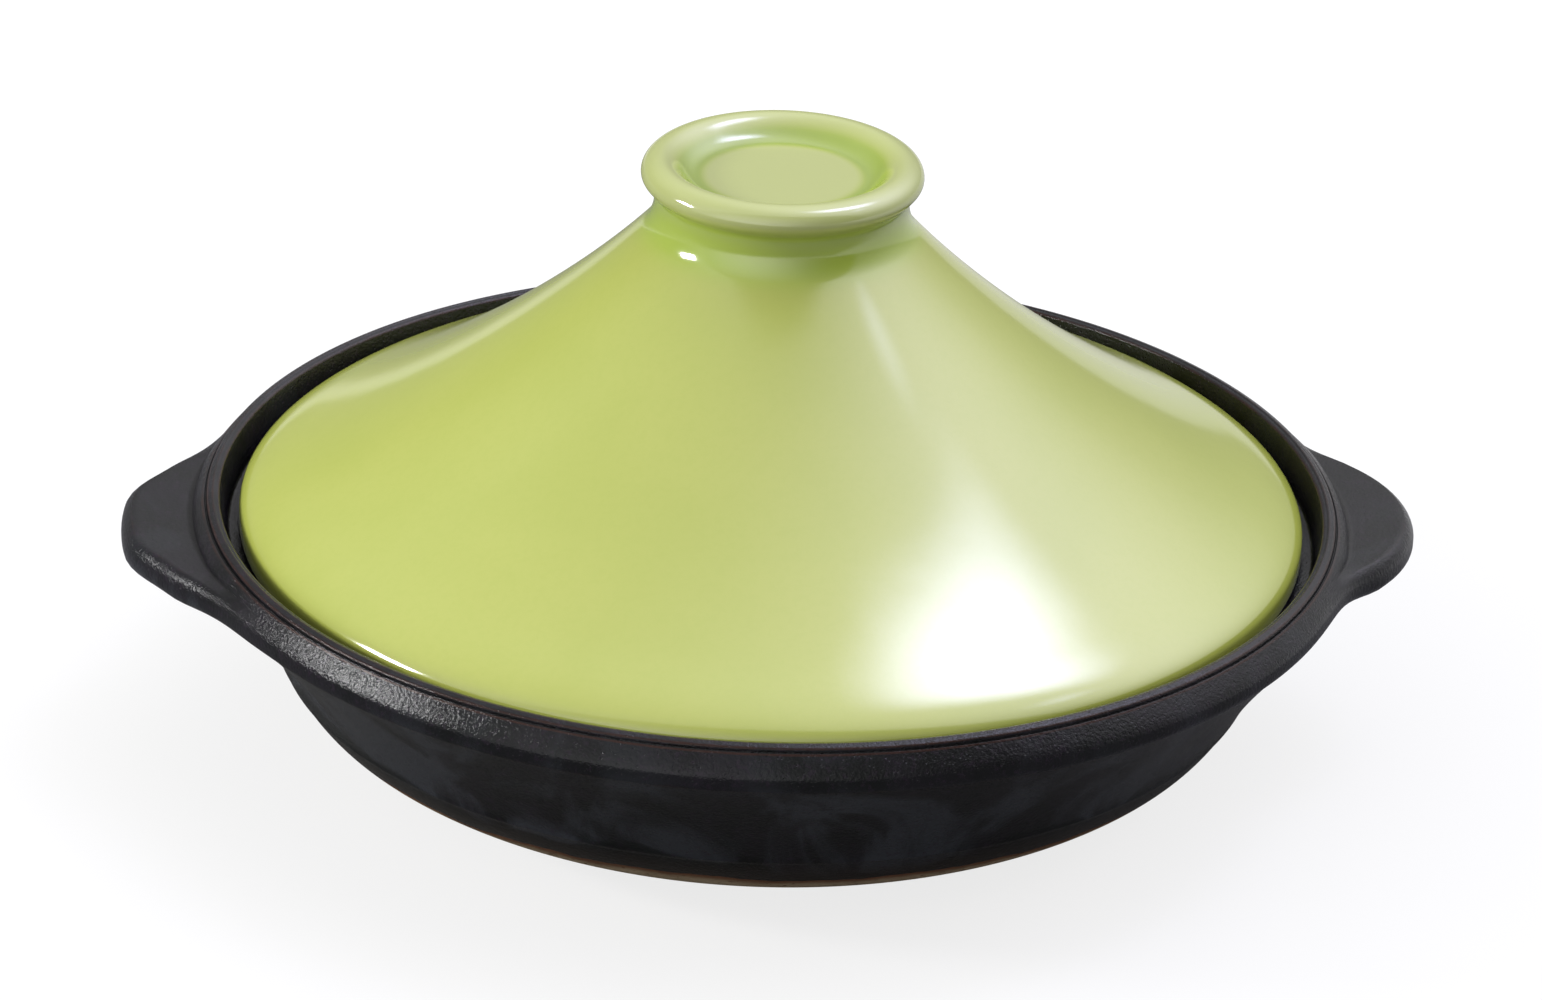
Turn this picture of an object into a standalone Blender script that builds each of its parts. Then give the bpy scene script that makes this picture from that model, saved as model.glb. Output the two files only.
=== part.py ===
"""Stoneware tagine in two fired pieces: a black dish with two lugs, and a green cone lid with a ring knob.

Metres, +Z up. The origin is on the table under the middle of the dish, the lugs lie along X, and the lid
rests on the ledge inside the rim.
"""

from math import cos, pi, radians, sin, sqrt

import bmesh
import bpy
from mathutils import Matrix

# Dish: the mouth, the thin lip round it and the ledge that the lid rests on
MOUTH_RADIUS = 0.1287
DISH_HEIGHT = 0.0609
LIP_THICKNESS = 0.0031
LIP_HEIGHT = 0.0016
LEDGE_DEPTH = 0.0090
LEDGE_WIDTH = 0.0098
LEDGE_DRAFT = 0.0014
LEDGE_ROUND = 0.0012

# Dish: the shoulder band under the lip
BAND_THICKNESS = 0.0068
BAND_HEIGHT = 0.0088
BAND_UNDERCUT = 0.0012
BAND_BULGE = 0.0003

# Dish: wall, floor and foot
FLOOR_THICKNESS = 0.0068
FLOOR_RADIUS = 0.0780
FOOT_RADIUS = 0.0806
FOOT_WIDTH = 0.0105
FOOT_RECESS = 0.0025
FOOT_CHAMFER = 0.0010

# Dish: pull points of the wall's curves, as shares of the way out and the way up from foot to rim
OUTER_BELLY = ((0.79, 0.345), (0.415, 0.31))
INNER_BELLY = ((0.55, 0.0), (1.0, 0.60))

# Lugs: flat tabs with a round tip and straight sides that run into the band
LUG_REACH = 0.0161
LUG_TIP_RADIUS = 0.0420
LUG_SIDE_TURN = radians(36.9)
LUG_DROP = 0.0052
LUG_TIP_THICKNESS = 0.0078
LUG_ROOT_THICKNESS = 0.0090
LUG_ROOT_INSET = 0.0105
LUG_WEB_INSET = 0.0170
LUG_WEB_DROP = 0.0008
LUG_EDGE_ROUND = 0.0027
LUG_FILLET = 0.0085

# Lid: how it sits in the dish
LID_SIDE_CLEARANCE = 0.0045
LID_SEAT_GAP = 0.0003

# Lid: the cone and its pull points, as shares of the way in and the way up from the shoulder to its top
LID_THICKNESS = 0.0065
LID_EDGE_HEIGHT = 0.0047
LID_EDGE_ROUND = 0.0016
SHOULDER_WIDTH = 0.0131
SHOULDER_HEIGHT = 0.0100
CONE_HEIGHT = 0.0757
OUTER_FLARE = ((0.3625, 0.25), (0.7615, 0.659))
INNER_FLARE = ((0.27, 0.40), (0.63, 0.78))

# Lid: the neck and the ring knob on it
NECK_RADIUS = 0.0294
NECK_HEIGHT = 0.0088
NECK_FLARE_WIDTH = 0.00265
NECK_FLARE_HEIGHT = 0.0073
NECK_FLARE_CORNER = 0.0029
KNOB_RADIUS = 0.0326
KNOB_HEIGHT = 0.0089
KNOB_UNDER_HEIGHT = 0.0050
CROWN_RADIUS = 0.0280
RECESS_RADIUS = 0.0196
RECESS_DEPTH = 0.0045
KNOB_FLOOR_THICKNESS = 0.0078

# How finely the turned shapes are divided
LUG_SECTOR = radians(56)
LUG_SECTOR_STEPS = 20
PLAIN_SECTOR_STEPS = 20
LID_STEPS = 64
SHARP_ANGLE = radians(50)
WELD_DISTANCE = 0.00001

# Sizes that follow from the ones above
BAND_RADIUS = MOUTH_RADIUS + BAND_THICKNESS
LIP_RADIUS = MOUTH_RADIUS + LIP_THICKNESS
GROOVE_Z = DISH_HEIGHT - LIP_HEIGHT
BAND_FOOT_Z = GROOVE_Z - BAND_HEIGHT
LEDGE_Z = DISH_HEIGHT - LEDGE_DEPTH
LEDGE_OUTER = MOUTH_RADIUS - LEDGE_DRAFT
LEDGE_INNER = LEDGE_OUTER - LEDGE_WIDTH
FLOOR_Z = FOOT_RECESS + FLOOR_THICKNESS
LUG_TOP_Z = DISH_HEIGHT - LUG_DROP
LID_RADIUS = MOUTH_RADIUS - LID_SIDE_CLEARANCE
LID_FOOT_Z = LEDGE_Z + LID_SEAT_GAP
CONE_TOP_Z = LID_FOOT_Z + CONE_HEIGHT
KNOB_FOOT_Z = CONE_TOP_Z + NECK_HEIGHT
CROWN_Z = KNOB_FOOT_Z + KNOB_HEIGHT
RECESS_Z = CROWN_Z - RECESS_DEPTH


def between(start, end, along, up):
    """The point that is these shares of the way from start to end, sideways and upwards."""
    return (start[0] + (end[0] - start[0]) * along, start[1] + (end[1] - start[1]) * up)


def shifted(point, sideways, up):
    return (point[0] + sideways, point[1] + up)


def bezier(start, first, second, end, count):
    """Points of a cubic curve after its start, the end included."""
    points = []
    for step in range(1, count + 1):
        t = step / count
        weights = ((1 - t) ** 3, 3 * t * (1 - t) ** 2, 3 * t * t * (1 - t), t ** 3)
        pulls = (start, first, second, end)
        points.append(tuple(sum(w * pull[axis] for w, pull in zip(weights, pulls)) for axis in (0, 1)))
    return points


def arc(centre, half_width, half_height, start, end, count):
    """Points of an ellipse's arc after its start, the end included. Angles are in degrees."""
    points = []
    for step in range(1, count + 1):
        angle = radians(start + (end - start) * step / count)
        points.append((centre[0] + half_width * cos(angle), centre[1] + half_height * sin(angle)))
    return points


def glaze(name, colour, roughness):
    """A fired glaze of one colour."""
    material = bpy.data.materials.new(name)
    material.use_nodes = True
    shader = material.node_tree.nodes["Principled BSDF"]
    shader.inputs["Base Color"].default_value = (*colour, 1.0)
    shader.inputs["Roughness"].default_value = roughness
    shader.inputs["Metallic"].default_value = 0.0
    return material


def turned(outline, sectors):
    """Spin an outline about Z, sector by sector, and number each ring of vertices in its row layer."""
    mesh = bmesh.new()
    row = mesh.verts.layers.int.new("row")
    profile = []
    for index, (radius, height) in enumerate(outline):
        vertex = mesh.verts.new((radius, 0.0, height))
        vertex[row] = index
        profile.append(vertex)
    edges = [mesh.edges.new(pair) for pair in zip(profile, profile[1:])]
    start_turn = Matrix.Rotation(-sectors[0][0] / 2, 3, "Z")
    bmesh.ops.rotate(mesh, verts=profile, cent=(0, 0, 0), matrix=start_turn)
    last = profile + edges
    for angle, steps in sectors:
        spun = bmesh.ops.spin(mesh, geom=last, cent=(0, 0, 0), axis=(0, 0, 1), dvec=(0, 0, 0), angle=angle,
                              steps=steps, use_merge=False, use_duplicate=False)
        last = spun["geom_last"]
    bmesh.ops.remove_doubles(mesh, verts=mesh.verts, dist=WELD_DISTANCE)
    bmesh.ops.recalc_face_normals(mesh, faces=mesh.faces)
    return mesh, row


def finished(name, mesh, material):
    """Make the shape an object of its own, smooth except at its sharp edges."""
    data = bpy.data.meshes.new(name)
    mesh.to_mesh(data)
    mesh.free()
    data.materials.append(material)
    data.shade_smooth()
    data.set_sharp_from_angle(angle=SHARP_ANGLE)
    piece = bpy.data.objects.new(name, data)
    bpy.context.scene.collection.objects.link(piece)
    return piece


def lug_edge_radius(angle):
    """How far the edge of band and lugs lies from the axis, in one direction."""
    off_axis = abs((angle + pi / 2) % pi - pi / 2)
    tip_centre = BAND_RADIUS + LUG_REACH - LUG_TIP_RADIUS
    tangent_x = tip_centre + LUG_TIP_RADIUS * cos(LUG_SIDE_TURN)
    tangent_y = LUG_TIP_RADIUS * sin(LUG_SIDE_TURN)
    if sin(off_axis) * tangent_x <= cos(off_axis) * tangent_y:
        reach = tip_centre * cos(off_axis) + sqrt(LUG_TIP_RADIUS ** 2 - (tip_centre * sin(off_axis)) ** 2)
    else:
        side = tip_centre * cos(LUG_SIDE_TURN) + LUG_TIP_RADIUS
        reach = side / cos(min(off_axis, LUG_SIDE_TURN) - LUG_SIDE_TURN)
    overlap = max(LUG_FILLET - abs(reach - BAND_RADIUS), 0.0) / LUG_FILLET
    return max(reach, BAND_RADIUS) + overlap ** 2 * LUG_FILLET / 4


def lug_rows():
    """Rows of a lug from its top round its edge to its root: how far in from the edge, and the height."""
    top_middle = (0.0, LUG_TOP_Z - LUG_EDGE_ROUND)
    low_middle = (0.0, LUG_TOP_Z - LUG_TIP_THICKNESS + LUG_EDGE_ROUND)
    rim = [(0.0, LUG_TOP_Z)] + arc(top_middle, LUG_EDGE_ROUND, LUG_EDGE_ROUND, 90, 0, 3)
    rim += [(LUG_EDGE_ROUND, low_middle[1])] + arc(low_middle, LUG_EDGE_ROUND, LUG_EDGE_ROUND, 0, -90, 3)
    root_z = LUG_TOP_Z - LUG_ROOT_THICKNESS
    rows = [(LUG_EDGE_ROUND - x, z) for x, z in rim]
    return rows + [(LUG_ROOT_INSET, root_z), (LUG_WEB_INSET, root_z - LUG_WEB_DROP)]


def dish_outline():
    """The dish's half section, from the middle of its floor over the lip to the middle of its base.

    With it comes a table of the rows that the lugs draw out: for each, its inset and height on the lug.
    """
    floor_edge = (FLOOR_RADIUS, FLOOR_Z)
    ledge_edge = (LEDGE_INNER, LEDGE_Z - LEDGE_ROUND)
    inner_pulls = [between(floor_edge, ledge_edge, *share) for share in INNER_BELLY]
    outline = [(0.0, FLOOR_Z), (FLOOR_RADIUS / 2, FLOOR_Z), floor_edge]
    outline += bezier(floor_edge, *inner_pulls, ledge_edge, 7)
    outline += [(LEDGE_INNER + LEDGE_ROUND, LEDGE_Z), (LEDGE_OUTER - LEDGE_ROUND, LEDGE_Z)]
    outline += [(LEDGE_OUTER, LEDGE_Z + LEDGE_ROUND)]

    lip_round = LIP_THICKNESS / 2
    lip_middle = (MOUTH_RADIUS + lip_round, DISH_HEIGHT - lip_round)
    outline += [(MOUTH_RADIUS, lip_middle[1])]
    outline += arc(lip_middle, lip_round, lip_round, 180, 0, 6)
    outline += [(LIP_RADIUS, GROOVE_Z)]

    shoulder_width = BAND_RADIUS - LIP_RADIUS
    shoulder_height = GROOVE_Z - LUG_TOP_Z
    crease = (LIP_RADIUS + shoulder_width * 0.75, LUG_TOP_Z)
    outline += [(LIP_RADIUS + shoulder_width * 0.40, GROOVE_Z - shoulder_height * 0.35), crease]

    band_foot = (BAND_RADIUS - BAND_UNDERCUT, BAND_FOOT_Z)
    foot_top = (FOOT_RADIUS + FOOT_CHAMFER, FOOT_CHAMFER)
    outer_pulls = [between(foot_top, band_foot, *share) for share in OUTER_BELLY]
    wall = bezier(band_foot, outer_pulls[1], outer_pulls[0], foot_top, 9)
    lugs = lug_rows()
    band_top_pull = (BAND_RADIUS, LUG_TOP_Z - BAND_BULGE)
    band_low_pull = (BAND_RADIUS + BAND_BULGE, BAND_FOOT_Z + BAND_UNDERCUT)
    band = bezier(crease, band_top_pull, band_low_pull, band_foot, len(lugs) - 1)
    web = between(band_foot, wall[0], 0.45, 0.45)
    drawn_out = {}
    for point, lug_row in zip(band + [web], lugs):
        drawn_out[len(outline)] = lug_row
        outline.append(point)
    outline += wall

    outline += [(FOOT_RADIUS, 0.0), (FOOT_RADIUS - FOOT_WIDTH, 0.0)]
    outline += [(FOOT_RADIUS - FOOT_WIDTH - FOOT_CHAMFER, FOOT_RECESS), (0.0, FOOT_RECESS)]
    return outline, drawn_out


def make_dish(material):
    """Turn the dish, then draw its band out into the two lugs."""
    outline, drawn_out = dish_outline()
    sectors = [(LUG_SECTOR, LUG_SECTOR_STEPS), (pi - LUG_SECTOR, PLAIN_SECTOR_STEPS)] * 2
    mesh, row = turned(outline, sectors)
    for vertex in mesh.verts:
        if vertex[row] not in drawn_out:
            continue
        direction = vertex.co.xy.normalized()
        radius = vertex.co.xy.length
        edge = lug_edge_radius(vertex.co.xy.angle_signed((1, 0)))
        share = min((edge - BAND_RADIUS) / LUG_FILLET, 1.0)
        share = share * share * (3 - 2 * share)
        inset, height = drawn_out[vertex[row]]
        lug_radius = max(edge - inset, radius)
        vertex.co.xy = direction * (radius + (lug_radius - radius) * share)
        vertex.co.z += (height - vertex.co.z) * share
    return finished("dish", mesh, material)


def lid_outline():
    """The lid's half section, from the top of its hollow over the edge to the middle of the knob's recess."""
    edge_top = (LID_RADIUS, LID_FOOT_Z + LID_EDGE_HEIGHT)
    shoulder_top = shifted(edge_top, -SHOULDER_WIDTH, SHOULDER_HEIGHT)
    cone_top = (NECK_RADIUS + NECK_FLARE_WIDTH, CONE_TOP_Z)
    hollow_top = (0.0, RECESS_Z - KNOB_FLOOR_THICKNESS)
    hollow_neck = shifted(cone_top, -LID_THICKNESS * 1.34, 0.0)
    hollow_shoulder = shifted(shoulder_top, -LID_THICKNESS * 0.51, -LID_THICKNESS * 0.86)
    inner_foot = (LID_RADIUS - LID_THICKNESS, LID_FOOT_Z)

    outline = [hollow_top]
    dome_pulls = (hollow_neck[0] * 0.60, hollow_top[1]), shifted(hollow_neck, -0.0040, 0.0042)
    outline += bezier(hollow_top, *dome_pulls, hollow_neck, 4)
    hollow_pulls = [between(hollow_neck, hollow_shoulder, *share) for share in INNER_FLARE]
    outline += bezier(hollow_neck, *hollow_pulls, hollow_shoulder, 7)
    foot_round = shifted(inner_foot, 0.0, LID_EDGE_ROUND * 0.5)
    brim_pulls = shifted(hollow_shoulder, 0.0040, -0.0024), shifted(inner_foot, -0.0010, 0.0040)
    outline += bezier(hollow_shoulder, *brim_pulls, foot_round, 3)
    outline += [shifted(inner_foot, LID_EDGE_ROUND * 0.5, 0.0)]

    edge_middle = (LID_RADIUS - LID_EDGE_ROUND, LID_FOOT_Z + LID_EDGE_ROUND)
    outline += [(edge_middle[0], LID_FOOT_Z)]
    outline += arc(edge_middle, LID_EDGE_ROUND, LID_EDGE_ROUND, -90, 0, 3)
    outline += [edge_top]
    shoulder_pulls = (shifted(edge_top, 0.0, SHOULDER_HEIGHT * 0.32),
                      shifted(shoulder_top, SHOULDER_WIDTH * 0.44, -SHOULDER_HEIGHT * 0.38))
    outline += bezier(edge_top, *shoulder_pulls, shoulder_top, 6)
    outer_pulls = [between(shoulder_top, cone_top, *share) for share in OUTER_FLARE]
    outline += bezier(shoulder_top, *outer_pulls, cone_top, 8)
    neck_foot = (NECK_RADIUS, CONE_TOP_Z + NECK_FLARE_HEIGHT)
    corner = (NECK_RADIUS, CONE_TOP_Z + NECK_FLARE_CORNER)
    flare_pulls = between(cone_top, corner, 0.6, 0.6), between(neck_foot, corner, 0.6, 0.6)
    outline += bezier(cone_top, *flare_pulls, neck_foot, 4)

    knob_foot = (NECK_RADIUS, KNOB_FOOT_Z)
    widest = (KNOB_RADIUS, KNOB_FOOT_Z + KNOB_UNDER_HEIGHT)
    outline += [knob_foot]
    under_pulls = between(knob_foot, widest, 0.0, 0.45), between(knob_foot, widest, 1.0, 0.55)
    outline += bezier(knob_foot, *under_pulls, widest, 6)
    outline += arc((CROWN_RADIUS, widest[1]), KNOB_RADIUS - CROWN_RADIUS, CROWN_Z - widest[1], 0, 90, 4)
    crown = (CROWN_RADIUS, CROWN_Z)
    recess_edge = (RECESS_RADIUS, RECESS_Z)
    outline += bezier(crown, between(crown, recess_edge, 0.39, 0.0), between(crown, recess_edge, 0.56, 1.0),
                      recess_edge, 6)
    outline += [(0.0, RECESS_Z)]
    return outline


def make_lid(material):
    """Turn the lid and its knob as one piece."""
    mesh, _ = turned(lid_outline(), [(2 * pi, LID_STEPS)])
    return finished("lid", mesh, material)


for old in list(bpy.data.objects):
    bpy.data.objects.remove(old)

make_dish(glaze("black iron glaze", (0.018, 0.017, 0.018), 0.33))
make_lid(glaze("green glaze", (0.51, 0.60, 0.17), 0.12))
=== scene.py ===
from math import cos, degrees, pi, radians, sin, sqrt

import bmesh
import bpy
from mathutils import Matrix, Vector


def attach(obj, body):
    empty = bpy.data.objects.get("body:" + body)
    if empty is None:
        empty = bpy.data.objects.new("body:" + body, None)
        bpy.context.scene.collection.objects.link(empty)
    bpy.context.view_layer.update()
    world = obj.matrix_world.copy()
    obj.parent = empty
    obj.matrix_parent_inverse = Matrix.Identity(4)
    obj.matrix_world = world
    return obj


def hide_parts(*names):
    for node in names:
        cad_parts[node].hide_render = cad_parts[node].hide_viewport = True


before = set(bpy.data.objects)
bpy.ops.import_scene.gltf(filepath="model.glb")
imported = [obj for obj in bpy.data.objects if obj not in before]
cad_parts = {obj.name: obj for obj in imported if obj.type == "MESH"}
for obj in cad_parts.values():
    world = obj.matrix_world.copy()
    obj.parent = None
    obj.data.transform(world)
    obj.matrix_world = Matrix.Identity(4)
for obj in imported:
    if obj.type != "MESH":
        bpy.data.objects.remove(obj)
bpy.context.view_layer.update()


# The dish: turned in stoneware clay, with a thin lip, a ledge inside it for the lid and a shoulder band
# outside it. Two lugs of the same clay stand out of the band. It is dipped in a black iron glaze that
# gathers in its grooves, which are also painted darker as shade, breaks brown on its edges and is wiped off
# the underside. A pale bluish cloud on its wall is partly mottling and partly painted sheen.
MOUTH_RADIUS = 0.1287
DISH_HEIGHT = 0.0609
LIP_THICKNESS = 0.0031
LIP_HEIGHT = 0.0016
LIP_ROUND = 0.0011
LIP_DOME = 0.0003
LEDGE_DEPTH = 0.0090
LEDGE_WIDTH = 0.0098
LEDGE_DRAFT = 0.0014
LEDGE_ROUND = 0.0012
BAND_THICKNESS = 0.0068
BAND_HEIGHT = 0.0088
BAND_UNDERCUT = 0.0012
BAND_SHOULDER_SHARE = 0.60
BAND_FOOT_ROUND = 0.0018
BAND_FOOT_PULL = 0.0010
FLOOR_THICKNESS = 0.0068
FLOOR_RADIUS = 0.0780
FOOT_RADIUS = 0.0806
FOOT_WIDTH = 0.0105
FOOT_RECESS = 0.0025
FOOT_CHAMFER = 0.0010
TURNING_MARK_Z = 0.0232
TURNING_MARK_WIDTH = 0.0009
TURNING_MARK_DEPTH = 0.00035
GLAZE_LINE_Z = 0.0161
GLAZE_RUN_Z = 0.0400
DISH_EASE = 0.0004

LUG_REACH = 0.0161
LUG_TIP_RADIUS = 0.0420
LEFT_TIP_RADIUS = 0.0800
LEFT_TIP_CORNER = 0.0027
LUG_SIDE_TURN = radians(36.9)
LUG_DROP = 0.0052
LUG_TIP_THICKNESS = 0.0078
LUG_TOP_ROUND = 0.0045
LUG_LOW_ROUND = 0.0029
LUG_EDGE_BREAK = radians(28)
LUG_ROOT_DROP = 0.0012
LUG_FILLET = 0.0085
LEFT_FRONT_FILLET = 0.0155
LEFT_BACK_FILLET = 0.0110
LEFT_FILLET_TURN = radians(24)
LEFT_FILLET_FADE = radians(12)
LUG_ROOT_RADIUS = 0.1351
LUG_UNDERSIDE_EASE = 1.6
LUG_SETTLE_SHARE = 0.70
LUG_UNDERSIDE_ROWS = 22
GROOVE_WIDTH = 0.0005
GROOVE_DEPTH = 0.0003

BAND_RADIUS = MOUTH_RADIUS + BAND_THICKNESS
LIP_RADIUS = MOUTH_RADIUS + LIP_THICKNESS
GROOVE_Z = DISH_HEIGHT - LIP_HEIGHT
BAND_FOOT_Z = GROOVE_Z - BAND_HEIGHT
LEDGE_Z = DISH_HEIGHT - LEDGE_DEPTH
LEDGE_OUTER = MOUTH_RADIUS - LEDGE_DRAFT
LEDGE_INNER = LEDGE_OUTER - LEDGE_WIDTH
FLOOR_Z = FOOT_RECESS + FLOOR_THICKNESS
LUG_TOP_Z = DISH_HEIGHT - LUG_DROP
LUG_LOW_Z = LUG_TOP_Z - LUG_TIP_THICKNESS

CORNER_ANGLE = radians(14)
EASE_STEPS = 5
EASE_LIMIT = 0.45
GLAZE_CREEP = 0.0008
FULL_TURN = radians(80)
WEDGE_STEPS = 5
DOUBLINGS = 6
WELD_DISTANCE = 0.000002


def mixed(one, other, share):
    """A point, or a row of any numbers, that lies this share of the way from one to the other."""
    return tuple(start + (end - start) * share for start, end in zip(one, other))


def between(start, end, along, up):
    """A point between two others, with its own share of the way sideways and up."""
    return (start[0] + (end[0] - start[0]) * along, start[1] + (end[1] - start[1]) * up)


def shifted(point, sideways, up):
    """A point moved by this much."""
    return (point[0] + sideways, point[1] + up)


def bezier(start, first, second, end, count):
    """Points of a cubic curve after its start, the end included."""
    points = []
    for step in range(1, count + 1):
        share = step / count
        rest = 1 - share
        weights = (rest ** 3, 3 * share * rest ** 2, 3 * share * share * rest, share ** 3)
        weighted = list(zip(weights, (start, first, second, end)))
        points.append(tuple(sum(weight * pull[axis] for weight, pull in weighted) for axis in (0, 1)))
    return points


def arc(centre, half_width, half_height, start, end, count):
    """Points of an ellipse's arc after its start, the end included. Angles are in degrees."""
    points = []
    for step in range(1, count + 1):
        angle = radians(start + (end - start) * step / count)
        points.append((centre[0] + half_width * cos(angle), centre[1] + half_height * sin(angle)))
    return points


def smoothed(share):
    """A share of the way that starts and stops softly."""
    return share * share * (3 - 2 * share)


def eased(rows, radius):
    """The outline with a short curve in place of each sharp corner."""
    result = [rows[0]]
    for before, row, after in zip(rows, rows[1:], rows[2:]):
        back = Vector(before[:2]) - Vector(row[:2])
        ahead = Vector(after[:2]) - Vector(row[:2])
        if pi - back.angle(ahead) < CORNER_ANGLE:
            result.append(row)
            continue
        start = mixed(row, before, min(radius / back.length, EASE_LIMIT))
        end = mixed(row, after, min(radius / ahead.length, EASE_LIMIT))
        for step in range(EASE_STEPS + 1):
            share = step / EASE_STEPS
            result.append(mixed(mixed(start, row, share), mixed(row, end, share), share))
    return result + [rows[-1]]


def glaze_depths(points, inward, creep=GLAZE_CREEP):
    """How the glaze lies along an outline, from -1 where it leaves an edge to 1 where it fills a hollow. The
    hollow side also sets where shade is painted into creases.
    """
    along = [0.0]
    for point, after in zip(points, points[1:]):
        along.append(along[-1] + (Vector(after[:2]) - Vector(point[:2])).length)
    turns = [0.0] * len(points)
    for index in range(1, len(points) - 1):
        back = Vector(points[index][:2]) - Vector(points[index - 1][:2])
        ahead = Vector(points[index + 1][:2]) - Vector(points[index][:2])
        if back.length > 0 and ahead.length > 0:
            turns[index] = -back.angle_signed(ahead) * inward
    depths = []
    for here in along:
        total = sum(turn * (1 - abs(place - here) / creep) for place, turn in zip(along, turns)
                    if abs(place - here) < creep)
        depths.append(max(-1.0, min(1.0, total / FULL_TURN)))
    return depths


def turned(outline):
    """Turn an outline once round Z, and number each ring of vertices in its row layer."""
    mesh = bmesh.new()
    row = mesh.verts.layers.int.new("row")
    profile = []
    for index, point in enumerate(outline):
        vertex = mesh.verts.new((point[0], 0.0, point[1]))
        vertex[row] = index
        profile.append(vertex)
    edges = [mesh.edges.new(pair) for pair in zip(profile, profile[1:])]
    angle = 2 * pi / 2 ** DOUBLINGS
    bmesh.ops.spin(mesh, geom=profile + edges, cent=(0, 0, 0), axis=(0, 0, 1), dvec=(0, 0, 0), angle=angle,
                   steps=WEDGE_STEPS, use_merge=False, use_duplicate=False)
    for _ in range(DOUBLINGS):
        copied = bmesh.ops.duplicate(mesh, geom=mesh.verts[:] + mesh.edges[:] + mesh.faces[:])["geom"]
        copied = [part for part in copied if isinstance(part, bmesh.types.BMVert)]
        bmesh.ops.rotate(mesh, verts=copied, cent=(0, 0, 0), matrix=Matrix.Rotation(angle, 3, "Z"))
        angle *= 2
    bmesh.ops.remove_doubles(mesh, verts=mesh.verts, dist=WELD_DISTANCE)
    bmesh.ops.recalc_face_normals(mesh, faces=mesh.faces)
    return mesh, row


def fired(name, mesh, material):
    """Make the shape an object of its own with its glaze on."""
    data = bpy.data.meshes.new(name)
    mesh.to_mesh(data)
    mesh.free()
    data.materials.append(material)
    data.shade_smooth()
    piece = bpy.data.objects.new(name, data)
    bpy.context.scene.collection.objects.link(piece)
    return piece


def lug_fillet(angle, off_axis):
    """The hand-smoothed fillet between lug and band, which is fuller on the left lug."""
    fillet = LUG_FILLET
    if cos(angle) < 0:
        fillet = LEFT_FRONT_FILLET if sin(angle) < 0 else LEFT_BACK_FILLET
    past = max(0.0, min(1.0, (off_axis - LEFT_FILLET_TURN) / LEFT_FILLET_FADE))
    return fillet + (LUG_FILLET - fillet) * smoothed(past)


def lug_edge_radius(angle):
    """How far the edge of band and lugs lies from the axis, in one direction."""
    off_axis = abs((angle + pi / 2) % pi - pi / 2)
    tip = BAND_RADIUS + LUG_REACH
    side = (tip - LUG_TIP_RADIUS) * cos(LUG_SIDE_TURN) + LUG_TIP_RADIUS
    side_reach = side / cos(min(off_axis, LUG_SIDE_TURN) - LUG_SIDE_TURN)
    radius = LEFT_TIP_RADIUS if cos(angle) < 0 else LUG_TIP_RADIUS
    corner = LEFT_TIP_CORNER if cos(angle) < 0 else 0.0
    centre = tip - radius
    across = centre * sin(off_axis)
    tip_reach = side_reach
    if corner or across < radius * sin(LUG_SIDE_TURN - off_axis):
        tip_reach = centre * cos(off_axis) + sqrt(radius ** 2 - across ** 2)
    reach = min(tip_reach, side_reach)
    if corner:
        reach -= max(corner - abs(tip_reach - side_reach), 0.0) ** 2 / corner / 4
    fillet = lug_fillet(angle, off_axis)
    overlap = max(fillet - abs(reach - BAND_RADIUS), 0.0) / fillet
    return max(reach, BAND_RADIUS) + overlap ** 2 * fillet / 4


def plain(points):
    """Rows that the lugs leave as they are.

    A row is its radius and height on the band, then on a lug its height, the radius that it starts from, its
    share of the way from there to the edge, and how far in from the edge it ends.
    """
    return [(radius, height, height, radius, 0.0, 0.0) for radius, height in points]


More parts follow.
